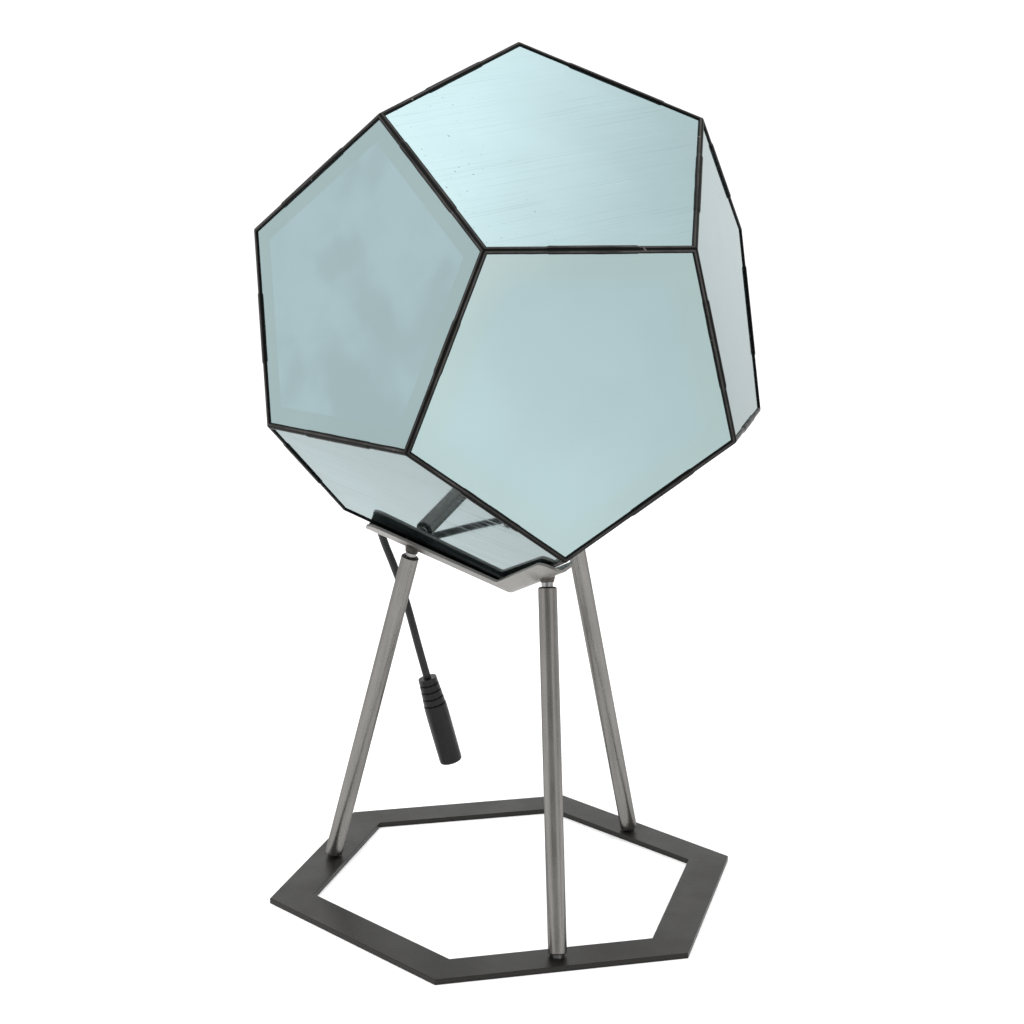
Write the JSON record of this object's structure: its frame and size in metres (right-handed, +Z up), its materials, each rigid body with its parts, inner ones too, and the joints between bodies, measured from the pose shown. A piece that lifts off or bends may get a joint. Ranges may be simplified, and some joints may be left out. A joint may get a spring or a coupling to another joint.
{
  "type": "mirror globe table light",
  "caption": "Faceted mirror-glass globe with black edge bars, resting on its point in a three-armed metal cradle on slanted legs and a hexagonal base ring, with a short low-voltage lead.",
  "frame": {"origin": "centre of the base ring's underside, on the surface that it stands on", "axes": "+Z up, -Y towards the front leg, +X to the right"},
  "size_m": [0.2204, 0.207, 0.3754],
  "materials": {
    "mirror_pane": "one-way mirror glass, pale blue-green",
    "edge_black": "black edge bars, worn thin along the ridge",
    "leg_grey": "fine metallic grey paint",
    "base_black": "satin dark grey powder coat",
    "cradle_silver": "satin light grey metallic",
    "stud_steel": "bright turned steel",
    "weld_metal": "dark weld bead",
    "led_strip": "white tape with light chips",
    "board_green": "circuit board",
    "terminal_plastic": "moulded",
    "lead_rubber": "soft black sheath",
    "connector_plastic": "moulded black, satin",
    "contact_steel": "plated",
    "contact_brass": "bright"
  },
  "bodies": {
    "stand": {"base_plate": "base_black", "foot_studs": "stud_steel", "cradle": "cradle_silver", "cradle_studs": "stud_steel", "stud_welds": "weld_metal", "leg_right": "leg_grey", "leg_left": "leg_grey", "leg_front": "leg_grey"},
    "globe": {"connector_body": "connector_plastic", "connector_pin": "contact_brass", "connector_sleeve": "contact_steel", "controller_board": "board_green", "corner_joints": "edge_black", "edge_bar_01": "edge_black", "edge_bar_02": "edge_black", "edge_bar_03": "edge_black", "edge_bar_04": "edge_black", "edge_bar_05": "edge_black", "edge_bar_06": "edge_black", "edge_bar_07": "edge_black", "edge_bar_08": "edge_black", "edge_bar_09": "edge_black", "edge_bar_10": "edge_black", "edge_bar_11": "edge_black", "edge_bar_12": "edge_black", "edge_bar_13": "edge_black", "edge_bar_14": "edge_black", "edge_bar_15": "edge_black", "edge_bar_16": "edge_black", "edge_bar_17": "edge_black", "edge_bar_18": "edge_black", "edge_bar_19": "edge_black", "edge_bar_20": "edge_black", "edge_bar_21": "edge_black", "edge_bar_22": "edge_black", "edge_bar_23": "edge_black", "edge_bar_24": "edge_black", "edge_bar_25": "edge_black", "edge_bar_26": "edge_black", "edge_bar_27": "edge_black", "edge_bar_28": "edge_black", "edge_bar_29": "edge_black", "edge_bar_30": "edge_black", "grommet": "lead_rubber", "inner_lead": "lead_rubber", "led_strips": "led_strip", "pane_bottom_back": "mirror_pane", "pane_bottom_left": "mirror_pane", "pane_bottom_right": "mirror_pane", "pane_lower_front": "mirror_pane", "pane_lower_left": "mirror_pane", "pane_lower_right": "mirror_pane", "pane_top_front": "mirror_pane", "pane_top_left": "mirror_pane", "pane_top_right": "mirror_pane", "pane_upper_back": "mirror_pane", "pane_upper_left": "mirror_pane", "pane_upper_right": "mirror_pane", "power_lead": "lead_rubber", "terminal_block": "terminal_plastic"}
  },
  "joints": [
    {"name": "globe_lift", "type": "slide", "parent": "stand", "child": "globe", "axis": [0, 0, 1], "range_m": [0, 0.12]}
  ]
}
